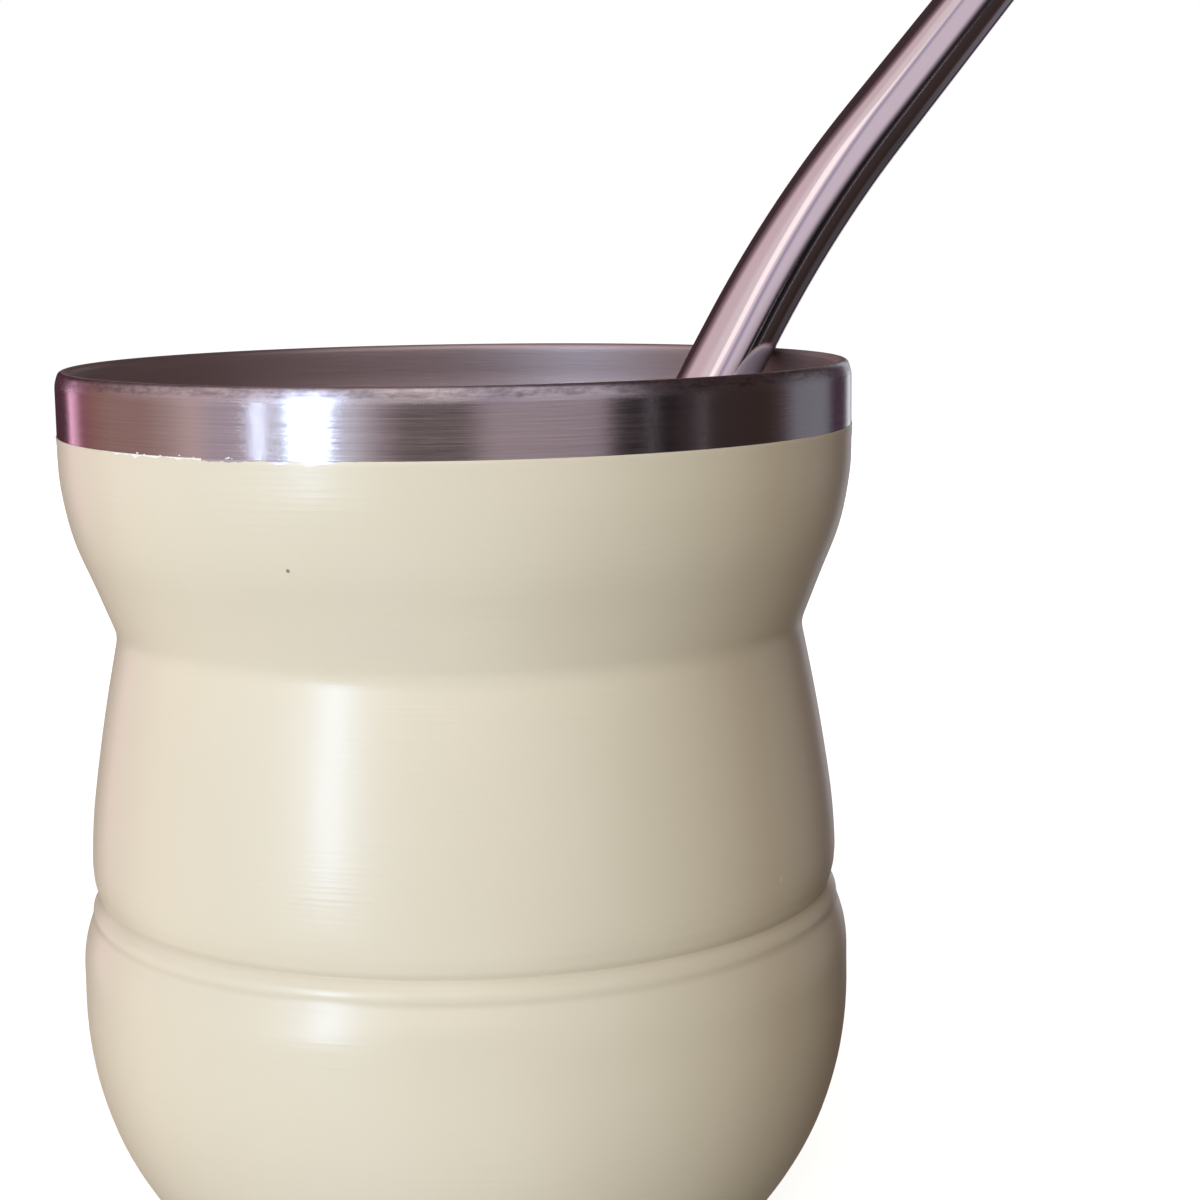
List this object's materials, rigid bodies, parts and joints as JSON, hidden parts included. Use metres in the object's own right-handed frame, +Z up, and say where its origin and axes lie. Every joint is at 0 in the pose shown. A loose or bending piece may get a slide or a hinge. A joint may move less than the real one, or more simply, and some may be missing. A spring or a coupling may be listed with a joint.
{
  "type": "mate cup with drinking straw",
  "caption": "Waisted steel mate cup with a painted body, a bare steel rim band and liner, and a bent metal drinking straw that leans on its lip.",
  "frame": {"origin": "centre of the flat base, on the cup's axis", "axes": "+Z up the cup's axis, +X to the right and +Y away from the viewer, as the picture shows the cup"},
  "size_m": [0.1169, 0.0819, 0.1469],
  "materials": {
    "cup_body": "satin",
    "cup_liner": "brushed round the cup",
    "straw": "polished"
  },
  "bodies": {
    "root": {"cup_body": "cup_body", "cup_liner": "cup_liner", "straw": "straw"}
  },
  "joints": []
}
